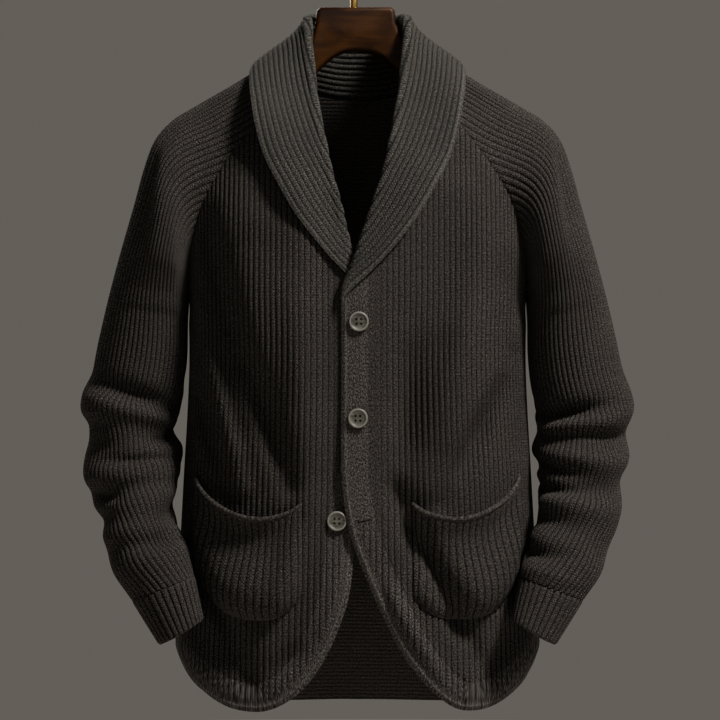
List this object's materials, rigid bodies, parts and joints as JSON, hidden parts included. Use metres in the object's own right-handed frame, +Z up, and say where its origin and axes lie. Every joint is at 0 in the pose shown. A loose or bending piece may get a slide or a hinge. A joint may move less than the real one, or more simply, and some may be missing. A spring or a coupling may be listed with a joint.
{
  "type": "shawl collar cardigan on a wooden hanger",
  "caption": "Heavy ribbed charcoal wool cardigan with a shawl collar, raglan sleeves, patch pockets and a rounded cutaway front, filled out on a dark wooden hanger with a brass hook.",
  "frame": {"origin": "the point inside the hook's bend that bears on the rail", "axes": "+X towards the wearer's left, +Y towards the wearer's back, +Z up"},
  "size_m": [0.6239, 0.2591, 0.8889],
  "materials": {
    "wool": "marled charcoal wool, ribbed",
    "collar_wool": "marled charcoal wool, ribbed, a little lighter",
    "horn": "satin, grey-olive, horn-like",
    "wood": "dark stained, glossy",
    "brass": "polished"
  },
  "bodies": {
    "root": {"back": "wool", "front_left": "wool", "front_right": "wool", "sleeve_left": "wool", "sleeve_right": "wool", "cuff_left": "wool", "cuff_right": "wool", "collar": "collar_wool", "pocket_left": "wool", "pocket_right": "wool", "band_left": "wool", "band_right": "wool", "hanger_board": "wood", "hanger_hook": "brass", "button_top": "horn", "button_middle": "horn", "button_bottom": "horn"}
  },
  "joints": []
}
